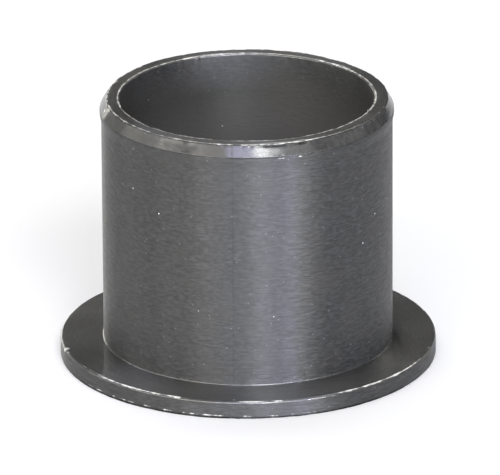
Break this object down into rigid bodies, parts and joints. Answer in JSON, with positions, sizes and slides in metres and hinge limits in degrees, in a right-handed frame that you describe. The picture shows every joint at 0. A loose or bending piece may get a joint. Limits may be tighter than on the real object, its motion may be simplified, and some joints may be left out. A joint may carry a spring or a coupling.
{
  "type": "flanged bushing",
  "caption": "Dark grey plastic plain bearing: a thin sleeve with a lead-in chamfer at one end and a thin round flange at the other, made to press into a housing and carry a shaft.",
  "frame": {"origin": "centre of the flange's outer face, where the bushing stands", "axes": "+Z along the bore from the flange to the end that enters the housing; X and Y are alike"},
  "size_m": [0.03, 0.03, 0.0215],
  "materials": {
    "bearing_plastic": "semi-gloss as moulded, dark grey, with faint rings round the axis"
  },
  "bodies": {
    "root": {"flanged_bushing": "bearing_plastic"}
  },
  "joints": []
}
